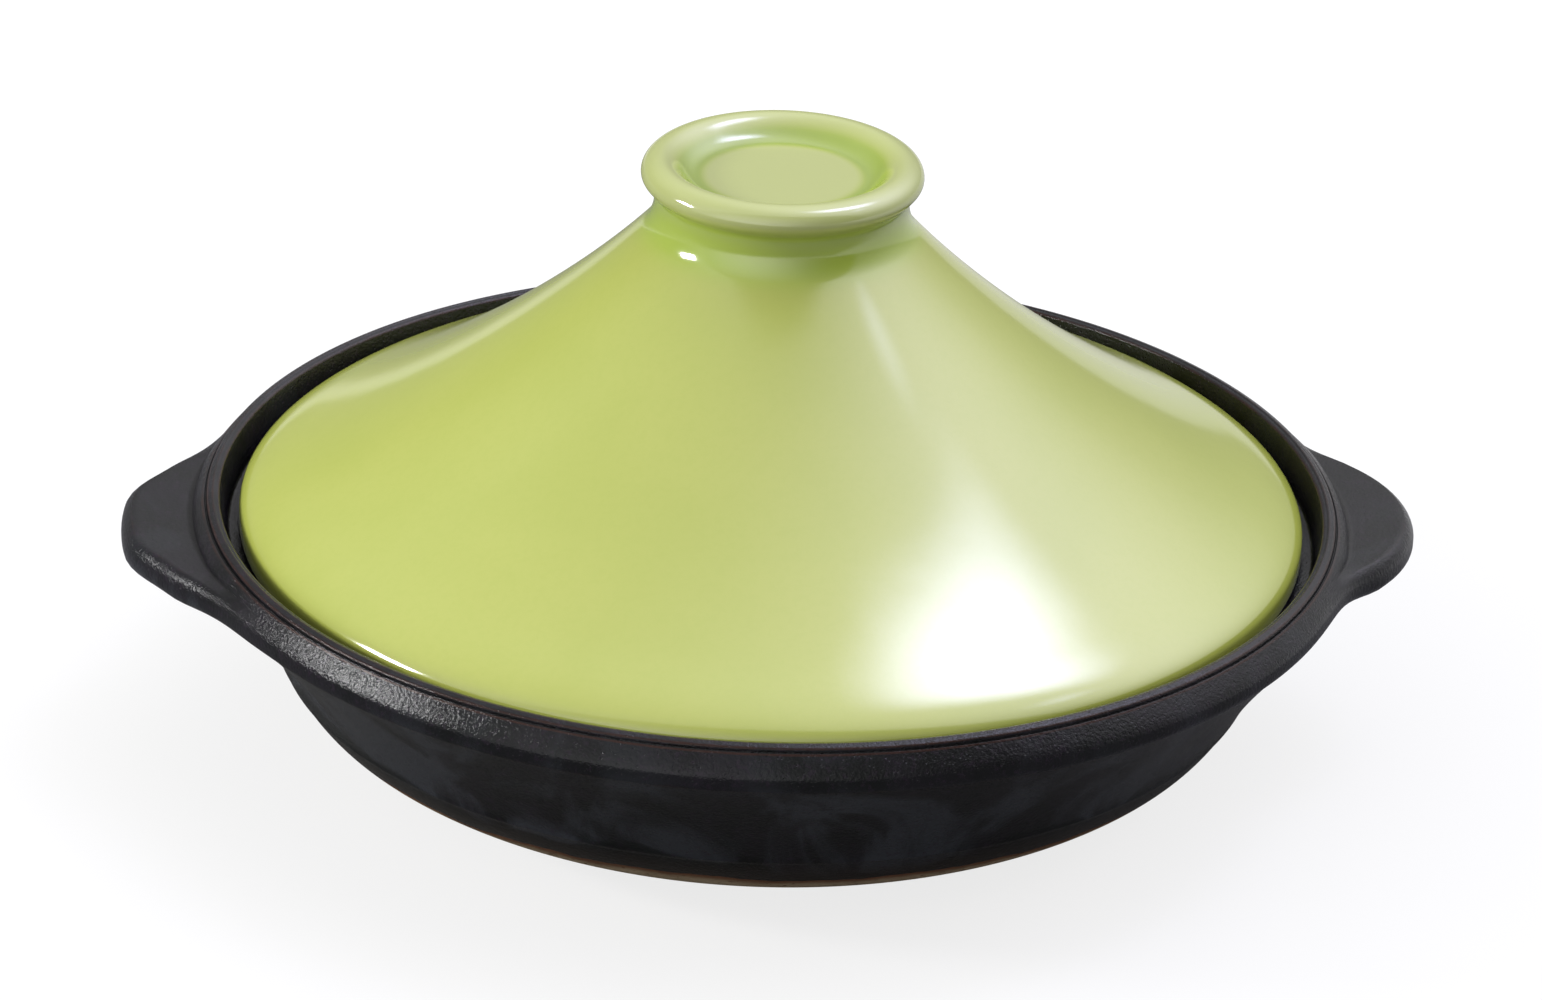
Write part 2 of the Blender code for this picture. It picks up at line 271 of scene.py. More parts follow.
def drawn_rows(groove_edge, wall):
    """Rows from the groove under the lip to the upper wall, with where each goes on the lug.

    On the band they make a round shoulder, a side and a small step to the wall. On the lug they make a low
    step round the lip, the flat top, its edge and the underside.
    """
    band_side = (BAND_RADIUS, GROOVE_Z - BAND_HEIGHT * BAND_SHOULDER_SHARE)
    band_foot = (BAND_RADIUS - BAND_UNDERCUT, BAND_FOOT_Z)
    shoulder_pulls = between(groove_edge, band_side, 0.33, 0.28), between(groove_edge, band_side, 0.93, 0.74)
    shoulder = [groove_edge] + bezier(groove_edge, *shoulder_pulls, band_side, count=26)
    side_end = shifted(band_foot, BAND_UNDERCUT, BAND_FOOT_ROUND)
    side = [mixed(band_side, side_end, step / 4) for step in range(1, 4)]
    foot_pulls = (shifted(band_foot, BAND_UNDERCUT, BAND_FOOT_PULL),
                  shifted(band_foot, BAND_UNDERCUT * 0.6, 0.0))
    foot = bezier(side_end, *foot_pulls, band_foot, count=9)

    lug_root = (LUG_ROOT_RADIUS, LUG_TOP_Z)
    root_pulls = between(groove_edge, lug_root, 0.50, 0.12), between(groove_edge, lug_root, 1.0, 0.62)
    root_slope = [groove_edge] + bezier(groove_edge, *root_pulls, lug_root, count=8)
    lug = [(height, radius, 0.0, 0.0) for radius, height in root_slope]
    top_inset = LUG_TOP_ROUND * (1 - sin(LUG_EDGE_BREAK))
    lug += [(LUG_TOP_Z, LUG_ROOT_RADIUS, step / 9, top_inset) for step in range(1, 10)]
    top_middle = (0.0, LUG_TOP_Z - LUG_TOP_ROUND * cos(LUG_EDGE_BREAK))
    low_middle = (0.0, LUG_LOW_Z + LUG_LOW_ROUND)
    top_round = arc(top_middle, LUG_TOP_ROUND, LUG_TOP_ROUND, 90 - degrees(LUG_EDGE_BREAK), 0, count=8)
    low_round = arc(low_middle, LUG_LOW_ROUND, LUG_LOW_ROUND, 0, -90, count=9)
    edge_height = top_middle[1] - low_middle[1]
    lug += [(height, LUG_ROOT_RADIUS, 1.0, LUG_TOP_ROUND - out) for out, height in top_round]
    lug += [(top_middle[1] - edge_height * step / 4, LUG_ROOT_RADIUS, 1.0, 0.0) for step in range(1, 4)]
    lug += [(height, LUG_ROOT_RADIUS, 1.0, LUG_LOW_ROUND - out) for out, height in low_round]

    base = shoulder[:-1] + side + foot + wall[:LUG_UNDERSIDE_ROWS]
    landing = base[-1]
    for step in range(1, LUG_UNDERSIDE_ROWS + 1):
        inward = 1 - (1 - step / LUG_UNDERSIDE_ROWS) ** LUG_UNDERSIDE_EASE
        settle = max(0.0, inward - LUG_SETTLE_SHARE) / (1 - LUG_SETTLE_SHARE)
        low = LUG_LOW_Z - LUG_ROOT_DROP * inward ** 2
        lug.append((low + (landing[1] - low) * settle ** 2, landing[0], 1 - inward, LUG_LOW_ROUND))
    rows = [(*band_point, *lug_row) for band_point, lug_row in zip(base, lug)]
    return rows, wall[LUG_UNDERSIDE_ROWS:]


def dish_rows():
    """The dish's half section, from the middle of its floor over the lip to the middle of its base."""
    floor_edge = (FLOOR_RADIUS, FLOOR_Z)
    ledge_edge = (LEDGE_INNER, LEDGE_Z - LEDGE_ROUND)
    inner_pulls = between(floor_edge, ledge_edge, 0.55, 0.0), between(floor_edge, ledge_edge, 1.0, 0.60)
    inside = [(0.0, FLOOR_Z)] + [(FLOOR_RADIUS * step / 8, FLOOR_Z) for step in range(1, 9)]
    inside += bezier(floor_edge, *inner_pulls, ledge_edge, count=20)
    inside += arc((LEDGE_INNER + LEDGE_ROUND, ledge_edge[1]), LEDGE_ROUND, LEDGE_ROUND, 180, 90, count=5)
    corner_middle = (LEDGE_OUTER - LEDGE_ROUND, LEDGE_Z + LEDGE_ROUND)
    inside += [(corner_middle[0], LEDGE_Z)]
    inside += arc(corner_middle, LEDGE_ROUND, LEDGE_ROUND, 270, 360, count=5)
    inner_round = (MOUTH_RADIUS + LIP_ROUND, DISH_HEIGHT - LIP_ROUND)
    outer_round = (LIP_RADIUS - LIP_ROUND, DISH_HEIGHT - LIP_ROUND)
    inside += [mixed(inside[-1], (MOUTH_RADIUS, inner_round[1]), 0.5), (MOUTH_RADIUS, inner_round[1])]
    inside += arc(inner_round, LIP_ROUND, LIP_ROUND - LIP_DOME, 180, 90, count=6)
    inside += [(MOUTH_RADIUS + LIP_THICKNESS / 2, DISH_HEIGHT)]
    inside += arc(outer_round, LIP_ROUND, LIP_ROUND - LIP_DOME, 90, 0, count=6)
    inside += [(LIP_RADIUS, GROOVE_Z), (LIP_RADIUS + GROOVE_WIDTH * 0.3, GROOVE_Z - GROOVE_DEPTH)]
    inside += [(LIP_RADIUS + GROOVE_WIDTH * 0.7, GROOVE_Z - GROOVE_DEPTH)]
    groove_edge = (LIP_RADIUS + GROOVE_WIDTH, GROOVE_Z)

    band_foot = (BAND_RADIUS - BAND_UNDERCUT, BAND_FOOT_Z)
    foot_top = (FOOT_RADIUS + FOOT_CHAMFER, FOOT_CHAMFER)
    outer_pulls = between(foot_top, band_foot, 0.79, 0.345), between(foot_top, band_foot, 0.415, 0.31)
    wall = bezier(band_foot, outer_pulls[1], outer_pulls[0], foot_top, count=64)
    marked = []
    for radius, height in wall:
        near = max(0.0, 1 - abs(height - TURNING_MARK_Z) / TURNING_MARK_WIDTH)
        marked.append((radius + TURNING_MARK_DEPTH * smoothed(near), height))
    lugs, rest_of_wall = drawn_rows(groove_edge, marked)
    base = [(FOOT_RADIUS, 0.0), (FOOT_RADIUS - FOOT_WIDTH, 0.0)]
    base += [(FOOT_RADIUS - FOOT_WIDTH - FOOT_CHAMFER, FOOT_RECESS), (0.0, FOOT_RECESS)]
    return eased(plain(inside) + lugs + plain(rest_of_wall + base), DISH_EASE)


def drawn(row, angle):
    """Where a row of the outline goes in one direction, and how much of it belongs to the lug there."""
    edge = lug_edge_radius(angle)
    lug = smoothed(min((edge - BAND_RADIUS) / LUG_FILLET, 1.0))
    radius, height, lug_height, start, out, inset = row
    lug_radius = start + max(edge - inset - start, 0.0) * out
    return radius + (lug_radius - radius) * lug, height + (lug_height - height) * lug, lug


def grown(tree, kind, sources=(), **values):
    """Add a node, plug these outputs into its inputs by name or number, and set its other values."""
    node = tree.nodes.new(kind)
    for name, value in values.items():
        setattr(node, name, value)
    for socket, source in dict(sources).items():
        if isinstance(source, bpy.types.NodeSocket):
            tree.links.new(source, node.inputs[socket])
        else:
            node.inputs[socket].default_value = source
    return node


def ranged(tree, value, low, high, to_low=0.0, to_high=1.0, smooth=True):
    """A value spread from one range to another, and held at both ends."""
    kind = "SMOOTHSTEP" if smooth else "LINEAR"
    node = grown(tree, "ShaderNodeMapRange", {0: value, 1: low, 2: high, 3: to_low, 4: to_high},
                 interpolation_type=kind, clamp=True)
    return node.outputs[0]


def computed(tree, operation, *values):
    """One step of arithmetic on numbers or on the outputs of other nodes."""
    return grown(tree, "ShaderNodeMath", dict(enumerate(values)), operation=operation).outputs[0]


def blended(tree, share, one, other):
    """Mix two colours."""
    node = grown(tree, "ShaderNodeMix", data_type="RGBA", clamp_factor=True)
    for socket, source in ((0, share), (6, one), (7, other)):
        if isinstance(source, bpy.types.NodeSocket):
            tree.links.new(source, node.inputs[socket])
        else:
            node.inputs[socket].default_value = source if isinstance(source, float) else (*source, 1.0)
    return node.outputs[2]


def toned(tree, colour, mask, strength, tone):
    """Lay a tone over a colour where the mask is 1, at this strength."""
    return blended(tree, computed(tree, "MULTIPLY", mask, strength), colour, tone)


def cloud(tree, place, scale, detail, roughness=0.5, distortion=0.0):
    """Fractal noise from 0 to 1 around 0.5."""
    return grown(tree, "ShaderNodeTexNoise", {"Vector": place, "Scale": scale, "Detail": detail,
                                              "Roughness": roughness, "Distortion": distortion}).outputs[0]


def glaze_skin_group():
    """The skin of a fired glaze: orange peel, soft unevenness from dipping and the wheel, and small pits."""
    group = bpy.data.node_groups.new("glaze skin", "ShaderNodeTree")
    face = group.interface
    face.new_socket("Place", in_out="INPUT", socket_type="NodeSocketVector")
    for name, start in (("Peel", 0.5), ("Unevenness", 0.5), ("Pits", 0.2)):
        face.new_socket(name, in_out="INPUT", socket_type="NodeSocketFloat").default_value = start
    face.new_socket("Height", in_out="OUTPUT", socket_type="NodeSocketFloat")
    entry = group.nodes.new("NodeGroupInput")
    place = entry.outputs["Place"]
    peel = computed(group, "MULTIPLY", cloud(group, place, 1250.0, 3.0, 0.6), entry.outputs["Peel"])
    waves = computed(group, "MULTIPLY", cloud(group, place, 42.0, 2.0, 0.45), entry.outputs["Unevenness"])
    cells = grown(group, "ShaderNodeTexVoronoi", {"Vector": place, "Scale": 800.0}).outputs["Distance"]
    pits = computed(group, "MULTIPLY", ranged(group, cells, 0.10, 0.24, 1.0, 0.0), entry.outputs["Pits"])
    height = computed(group, "SUBTRACT", computed(group, "ADD", peel, waves), pits)
    leave = group.nodes.new("NodeGroupOutput")
    group.links.new(height, leave.inputs["Height"])
    return group


def bare_clay_group():
    """Fired clay without glaze: sandy grain, iron specks and a toasted line beside the glaze."""
    group = bpy.data.node_groups.new("bare clay", "ShaderNodeTree")
    face = group.interface
    face.new_socket("Place", in_out="INPUT", socket_type="NodeSocketVector")
    face.new_socket("Glaze Edge", in_out="INPUT", socket_type="NodeSocketFloat")
    face.new_socket("Color", in_out="OUTPUT", socket_type="NodeSocketColor")
    face.new_socket("Height", in_out="OUTPUT", socket_type="NodeSocketFloat")
    entry = group.nodes.new("NodeGroupInput")
    place = entry.outputs["Place"]
    grain = cloud(group, place, 900.0, 4.0, 0.65)
    tone = blended(group, ranged(group, cloud(group, place, 60.0, 3.0), 0.35, 0.65),
                   (0.42, 0.31, 0.19), (0.52, 0.40, 0.26))
    specks = ranged(group, cloud(group, place, 520.0, 2.0, 0.7), 0.62, 0.68)
    tone = blended(group, specks, tone, (0.16, 0.09, 0.05))
    tone = blended(group, entry.outputs["Glaze Edge"], tone, (0.17, 0.075, 0.035))
    leave = group.nodes.new("NodeGroupOutput")
    group.links.new(tone, leave.inputs["Color"])
    group.links.new(grain, leave.inputs["Height"])
    return group


GLAZE_SKIN = glaze_skin_group()
BARE_CLAY = bare_clay_group()


def placed(tree, group, **sources):
    """Put a shared group in a material, with its own values."""
    node = tree.nodes.new("ShaderNodeGroup")
    node.node_tree = group
    for name, source in sources.items():
        socket = node.inputs[name.replace("_", " ")]
        if isinstance(source, bpy.types.NodeSocket):
            tree.links.new(source, socket)
        else:
            socket.default_value = source
    return node


def black_glaze():
    """Black iron glaze: satin, faintly mottled, with a pale bluish cloud on the wall that is partly painted
    sheen, darker in the grooves where glaze gathers and shade is painted, brown where it thins, and tan clay
    under the glaze line.
    """
    material = bpy.data.materials.new("black iron glaze")
    material.use_nodes = True
    tree = material.node_tree
    shader = tree.nodes["Principled BSDF"]
    place = grown(tree, "ShaderNodeTexCoord").outputs["Object"]
    depth = grown(tree, "ShaderNodeAttribute", attribute_name="glaze_depth").outputs["Fac"]
    line = grown(tree, "ShaderNodeAttribute", attribute_name="above_glaze_line").outputs["Fac"]

    runs_place = grown(tree, "ShaderNodeMapping", {"Vector": place, "Scale": (1.0, 1.0, 0.35)}).outputs[0]
    runs = ranged(tree, cloud(tree, runs_place, 62.0, 3.0, 0.55, 0.6), 0.36, 0.66)
    colour = blended(tree, runs, (0.0036, 0.0042, 0.0043), (0.0075, 0.0066, 0.0092))
    height_up = grown(tree, "ShaderNodeSeparateXYZ", {0: place}).outputs["Z"]
    # A pale bluish cloud, mostly on the wall below the band: partly glaze mottling, partly painted sheen
    # standing in for reflected light.
    haze_and_painted_sheen = ranged(tree, cloud(tree, runs_place, 30.0, 4.0, 0.55, 1.2), 0.44, 0.62)
    low = ranged(tree, height_up, BAND_FOOT_Z - 0.002, BAND_FOOT_Z + 0.003, 0.90, 0.20)
    colour = toned(tree, colour, haze_and_painted_sheen, low, (0.0360, 0.0400, 0.0480))
    scallops = computed(tree, "MULTIPLY_ADD", cloud(tree, place, 34.0, 2.0, 0.45, 0.5), 0.036, height_up)
    thick = ranged(tree, scallops, GLAZE_RUN_Z, GLAZE_RUN_Z + 0.0022, 1.0, 0.0)
    colour = toned(tree, colour, thick, 0.85, (0.0018, 0.0036, 0.0030))
    flecks = ranged(tree, cloud(tree, place, 620.0, 3.0, 0.7), 0.52, 0.68)
    colour = toned(tree, colour, flecks, 0.45, (0.024, 0.014, 0.027))
    wander = computed(tree, "MULTIPLY", cloud(tree, place, 170.0, 3.0, 0.6), 0.50)
    thin = computed(tree, "SUBTRACT", computed(tree, "MULTIPLY", depth, -1.0), wander)
    # Darker where the glaze gathers in grooves and creases: partly gathered glaze, partly painted shade in
    # the creases.
    pooled_and_shaded = ranged(tree, depth, 0.10, 0.55)
    colour = toned(tree, colour, pooled_and_shaded, 0.60, (0.0020, 0.0018, 0.0018))
    breaks = ranged(tree, thin, 0.05, 0.45)
    colour = toned(tree, colour, breaks, 0.90, (0.032, 0.011, 0.007))

    ragged = computed(tree, "MULTIPLY_ADD", cloud(tree, place, 46.0, 3.0, 0.55), 0.0056, -0.0028)
    edge = computed(tree, "ADD", line, ragged)
    brown = ranged(tree, edge, 0.0003, 0.0085, 1.0, 0.0)
    colour = toned(tree, colour, brown, 0.75, (0.020, 0.013, 0.009))
    bare = ranged(tree, edge, -0.0002, 0.0003, 1.0, 0.0)
    toasted = ranged(tree, edge, -0.0030, -0.0002)
    clay = placed(tree, BARE_CLAY, Place=place, Glaze_Edge=toasted)
    tree.links.new(blended(tree, bare, colour, clay.outputs["Color"]), shader.inputs["Base Color"])

    satin = computed(tree, "MULTIPLY_ADD", runs, 0.08, 0.12)
    satin = computed(tree, "MULTIPLY_ADD", breaks, 0.04, satin)
    rough = grown(tree, "ShaderNodeMix", {0: bare, 2: satin, 3: 0.85}, data_type="FLOAT").outputs[0]
    tree.links.new(rough, shader.inputs["Roughness"])
    shader.inputs["IOR"].default_value = 1.5
    shader.inputs["Specular IOR Level"].default_value = 0.32

    skin = placed(tree, GLAZE_SKIN, Place=place, Peel=0.80, Unevenness=0.14, Pits=0.30)
    height = grown(tree, "ShaderNodeMix", {0: bare, 2: skin.outputs["Height"], 3: clay.outputs["Height"]},
                   data_type="FLOAT").outputs[0]
    bump = grown(tree, "ShaderNodeBump", {"Strength": 0.55, "Distance": 0.00045, "Height": height})
    tree.links.new(bump.outputs[0], shader.inputs["Normal"])
    return material


def make_dish():
    """Turn the dish, draw its band out into the two lugs, and note how the glaze lies on it."""
    rows = dish_rows()
    mesh, row = turned(rows)
    depth_layer = mesh.verts.layers.float.new("glaze_depth")
    line_layer = mesh.verts.layers.float.new("above_glaze_line")
    top_index = max(range(len(rows)), key=lambda index: rows[index][1])
    band_depths = glaze_depths([drawn(each, pi / 2)[:2] for each in rows], 1)
    lug_depths = glaze_depths([drawn(each, 0.0)[:2] for each in rows], 1)
    for vertex in mesh.verts:
        index = vertex[row]
        direction = vertex.co.xy.normalized()
        turn = vertex.co.xy.angle_signed((1, 0)) if direction.length else 0.0
        radius, height, lug = drawn(rows[index], turn)
        vertex.co.xy = direction * radius
        vertex.co.z = height
        vertex[depth_layer] = band_depths[index] + (lug_depths[index] - band_depths[index]) * lug
        vertex[line_layer] = vertex.co.z - GLAZE_LINE_Z if index > top_index else 1.0
    return fired("glazed_dish", mesh, black_glaze())


dish = make_dish()
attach(dish, "dish")
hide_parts("dish")


# The lid: a hollow flared cone, turned in the same clay, with a low neck and a broad ring knob that is dished
# on top. It is covered inside and out by a glossy yellow-green glaze, except on the foot that it stands on.
LID_SIDE_CLEARANCE = 0.0045
LID_SEAT_GAP = 0.0003
LID_THICKNESS = 0.0065
LID_EDGE_HEIGHT = 0.0047
LID_EDGE_ROUND = 0.0016
SHOULDER_WIDTH = 0.0131
SHOULDER_HEIGHT = 0.0100
CONE_HEIGHT = 0.0757
NECK_RADIUS = 0.0294
NECK_HEIGHT = 0.0088
NECK_FLARE_WIDTH = 0.00265
NECK_FLARE_HEIGHT = 0.0073
NECK_FLARE_CORNER = 0.0029
KNOB_RADIUS = 0.0326
KNOB_HEIGHT = 0.0089
KNOB_UNDER_HEIGHT = 0.0050
CROWN_RADIUS = 0.0280
RECESS_RADIUS = 0.0196
RECESS_DEPTH = 0.0045
KNOB_FLOOR_THICKNESS = 0.0078
BARE_FOOT_HEIGHT = 0.0009
LID_GLAZE_CREEP = 0.0018
PAINTED_SHEEN_Z = 0.1335
LID_EASE = 0.0011
RECESS_POOL_SHADE_WIDTH = 0.0035
RECESS_POOL_SHADE_DEPTH = 0.70
RECESS_POOL_SHADE_RISE = 1.5
TOLERANCE = 0.0001

LID_RADIUS = MOUTH_RADIUS - LID_SIDE_CLEARANCE
LID_FOOT_Z = LEDGE_Z + LID_SEAT_GAP
CONE_TOP_Z = LID_FOOT_Z + CONE_HEIGHT
KNOB_FOOT_Z = CONE_TOP_Z + NECK_HEIGHT
CROWN_Z = KNOB_FOOT_Z + KNOB_HEIGHT
RECESS_Z = CROWN_Z - RECESS_DEPTH


def lid_outline():
    """The lid's half section, from the top of its hollow over the edge to the middle of the knob's recess."""
    edge_top = (LID_RADIUS, LID_FOOT_Z + LID_EDGE_HEIGHT)
    shoulder_top = shifted(edge_top, -SHOULDER_WIDTH, SHOULDER_HEIGHT)
    cone_top = (NECK_RADIUS + NECK_FLARE_WIDTH, CONE_TOP_Z)
    hollow_top = (0.0, RECESS_Z - KNOB_FLOOR_THICKNESS)
    hollow_neck = shifted(cone_top, -LID_THICKNESS * 1.34, 0.0)
    hollow_shoulder = shifted(shoulder_top, -LID_THICKNESS * 0.51, -LID_THICKNESS * 0.86)
    inner_foot = (LID_RADIUS - LID_THICKNESS, LID_FOOT_Z)

    dome_pulls = (hollow_neck[0] * 0.60, hollow_top[1]), shifted(hollow_neck, -0.0040, 0.0042)
    outline = [hollow_top] + bezier(hollow_top, *dome_pulls, hollow_neck, count=12)
    hollow_pulls = (between(hollow_neck, hollow_shoulder, 0.27, 0.40),
                    between(hollow_neck, hollow_shoulder, 0.63, 0.78))
    outline += bezier(hollow_neck, *hollow_pulls, hollow_shoulder, count=24)
    foot_round = shifted(inner_foot, 0.0, LID_EDGE_ROUND * 0.5)
    brim_pulls = shifted(hollow_shoulder, 0.0040, -0.0024), shifted(inner_foot, -0.0010, 0.0040)
    outline += bezier(hollow_shoulder, *brim_pulls, foot_round, count=12)
    outline += [inner_foot]

    edge_middle = (LID_RADIUS - LID_EDGE_ROUND, LID_FOOT_Z + LID_EDGE_ROUND)
    outline += [(edge_middle[0], LID_FOOT_Z)]
    outline += arc(edge_middle, LID_EDGE_ROUND, LID_EDGE_ROUND, -90, 0, count=8)
    outline += [mixed(outline[-1], edge_top, 0.5), edge_top]
    shoulder_pulls = (shifted(edge_top, 0.0, SHOULDER_HEIGHT * 0.32),
                      shifted(shoulder_top, SHOULDER_WIDTH * 0.44, -SHOULDER_HEIGHT * 0.307))
    outline += bezier(edge_top, *shoulder_pulls, shoulder_top, count=22)
    outer_pulls = (between(shoulder_top, cone_top, 0.3625, 0.25),
                   between(shoulder_top, cone_top, 0.7615, 0.659))
    outline += bezier(shoulder_top, *outer_pulls, cone_top, count=46)
    neck_foot = (NECK_RADIUS, CONE_TOP_Z + NECK_FLARE_HEIGHT)
    corner = (NECK_RADIUS, CONE_TOP_Z + NECK_FLARE_CORNER)
    flare_pulls = between(cone_top, corner, 0.6, 0.6), between(neck_foot, corner, 0.6, 0.6)
    outline += bezier(cone_top, *flare_pulls, neck_foot, count=12)

    knob_foot = (NECK_RADIUS, KNOB_FOOT_Z)
    widest = (KNOB_RADIUS, KNOB_FOOT_Z + KNOB_UNDER_HEIGHT)
    under_pulls = between(knob_foot, widest, 0.0, 0.45), between(knob_foot, widest, 1.0, 0.55)
    outline += [knob_foot] + bezier(knob_foot, *under_pulls, widest, count=14)
    crown = (CROWN_RADIUS, CROWN_Z)
    crown_middle = (CROWN_RADIUS, widest[1])
    outline += arc(crown_middle, KNOB_RADIUS - CROWN_RADIUS, CROWN_Z - widest[1], 0, 90, count=14)
    recess_edge = (RECESS_RADIUS, RECESS_Z)
    recess_pulls = between(crown, recess_edge, 0.39, 0.0), between(crown, recess_edge, 0.56, 1.0)
    outline += bezier(crown, *recess_pulls, recess_edge, count=20)
    outline += [(RECESS_RADIUS * (1 - step / 6), RECESS_Z) for step in range(1, 6)] + [(0.0, RECESS_Z)]
    return eased(outline, LID_EASE)


def green_glaze():
    """Yellow-green glaze: glassy, a little deeper in the hollows, which also paints their shade, and lighter
    on the edges.
    The knob is painted lighter and bluer as a painted sheen.
    """
    material = bpy.data.materials.new("green glaze")
    material.use_nodes = True
    tree = material.node_tree
    shader = tree.nodes["Principled BSDF"]
    place = grown(tree, "ShaderNodeTexCoord").outputs["Object"]
    depth = grown(tree, "ShaderNodeAttribute", attribute_name="glaze_depth").outputs["Fac"]
    line = grown(tree, "ShaderNodeAttribute", attribute_name="above_glaze_line").outputs["Fac"]

    drift = ranged(tree, cloud(tree, place, 22.0, 3.0, 0.5), 0.34, 0.66)
    colour = blended(tree, drift, (0.444, 0.498, 0.088), (0.466, 0.514, 0.098))
    freckles = ranged(tree, cloud(tree, place, 520.0, 3.0, 0.65), 0.42, 0.66)
    colour = toned(tree, colour, freckles, 0.12, (0.385, 0.460, 0.068))
    # Deeper green in the hollows, the neck crease and the knob's recess: partly gathered glaze, partly
    # painted shade.
    pooled_and_shaded = ranged(tree, depth, 0.08, 0.80)
    colour = toned(tree, colour, pooled_and_shaded, 0.80, (0.270, 0.385, 0.042))
    thin = ranged(tree, depth, -0.85, -0.10, 1.0, 0.0)
    colour = toned(tree, colour, thin, 0.15, (0.530, 0.565, 0.190))
    height_up = grown(tree, "ShaderNodeSeparateXYZ", {0: place}).outputs["Z"]
    above_cone = ranged(tree, height_up, CONE_TOP_Z - 0.003, CONE_TOP_Z + 0.003, 0.0, 0.65)
    under_knob = ranged(tree, height_up, KNOB_FOOT_Z + 0.001, KNOB_FOOT_Z + 0.004, 1.0, 0.0)
    neck = computed(tree, "MULTIPLY", above_cone, under_knob)
    colour = blended(tree, neck, colour, (0.370, 0.520, 0.045))
    # Painted sheen: the knob and the top of its neck are painted lighter and bluer, standing in for the
    # light's reflection on them.
    top = ranged(tree, height_up, PAINTED_SHEEN_Z, PAINTED_SHEEN_Z + 0.008)
    painted_sheen = computed(tree, "MULTIPLY", top, computed(tree, "SUBTRACT", 0.75, pooled_and_shaded))
    colour = blended(tree, painted_sheen, colour, (0.475, 0.520, 0.210))

    ragged = computed(tree, "MULTIPLY_ADD", cloud(tree, place, 70.0, 3.0, 0.55), 0.0008, -0.0004)
    edge = computed(tree, "ADD", line, ragged)
    bare = ranged(tree, edge, -0.0001, 0.0002, 1.0, 0.0)
    clay = placed(tree, BARE_CLAY, Place=place, Glaze_Edge=ranged(tree, edge, -0.0006, -0.0001))
    tree.links.new(blended(tree, bare, colour, clay.outputs["Color"]), shader.inputs["Base Color"])
    rough = grown(tree, "ShaderNodeMix", {0: bare, 2: 0.10, 3: 0.85}, data_type="FLOAT").outputs[0]
    tree.links.new(rough, shader.inputs["Roughness"])
    shader.inputs["IOR"].default_value = 1.72
    shader.inputs["Specular IOR Level"].default_value = 0.85

    skin = placed(tree, GLAZE_SKIN, Place=place, Peel=0.05, Unevenness=0.55, Pits=0.0)
    height = grown(tree, "ShaderNodeMix", {0: bare, 2: skin.outputs["Height"], 3: clay.outputs["Height"]},
                   data_type="FLOAT").outputs[0]
    bump = grown(tree, "ShaderNodeBump", {"Strength": 0.35, "Distance": 0.0004, "Height": height})
    tree.links.new(bump.outputs[0], shader.inputs["Normal"])
    return material


def make_lid():
    """Turn the lid and its knob as one piece, and note how the glaze lies on it."""
    outline = lid_outline()
    mesh, row = turned(outline)
    depth_layer = mesh.verts.layers.float.new("glaze_depth")
    line_layer = mesh.verts.layers.float.new("above_glaze_line")
    depths = glaze_depths(outline, -1, LID_GLAZE_CREEP)
    for index, (radius, height) in enumerate(outline):
        # Glaze runs down the knob's recess and gathers round its floor; the deeper tone there is also painted
        # shade in the recess.
        if height > RECESS_Z - TOLERANCE and radius < CROWN_RADIUS:
            sunk = min(1.0, (CROWN_Z - height) / RECESS_DEPTH * RECESS_POOL_SHADE_RISE)
            outer = max(0.0, min(1.0, (radius - RECESS_RADIUS + RECESS_POOL_SHADE_WIDTH) / RECESS_POOL_SHADE_WIDTH))
            depths[index] = max(depths[index], RECESS_POOL_SHADE_DEPTH * sunk * outer)
    for vertex in mesh.verts:
        vertex[depth_layer] = depths[vertex[row]]
        vertex[line_layer] = vertex.co.z - LID_FOOT_Z - BARE_FOOT_HEIGHT
    return fired("glazed_lid", mesh, green_glaze())


lid = make_lid()
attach(lid, "lid")
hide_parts("lid")


# The studio: a pale floor and soft light all round. A softbox stands high on the right behind the pot with a
# small dim panel beside it, and a small bright window lies on the left. The world glows most on the right
# behind and low on the left in front. To the camera itself, floor and world are white. In reflections the
# floor glows evenly far off, and nearer at the back right it has a painted pool of light.
CAMERA_TURN = radians(-5.0)
POT_MIDDLE = Vector((0.0, 0.0, 0.07))
WHITE = (1.0, 1.0, 1.0)
STUDIO_FLOOR_HALF = 4.0
STUDIO_FLOOR_DROP = 0.0001
SOFTBOX_COLOUR = (0.66, 0.67, 1.0)
PANEL_COLOUR = (0.60, 0.62, 1.0)
HALO_COLOUR = (0.90, 0.88, 1.0)
HALO_BRIGHTNESS = 1.95
HALO_FALL = 4.8
LOW_LEFT_BRIGHTNESS = 1.3
LOW_LEFT_FALL = 3.0


def from_camera(right, away, up):
    """A point in the studio, given to the right of the camera's view, away from the camera, and upwards."""
    return Matrix.Rotation(CAMERA_TURN, 3, "Z") @ Vector((right, away, up))


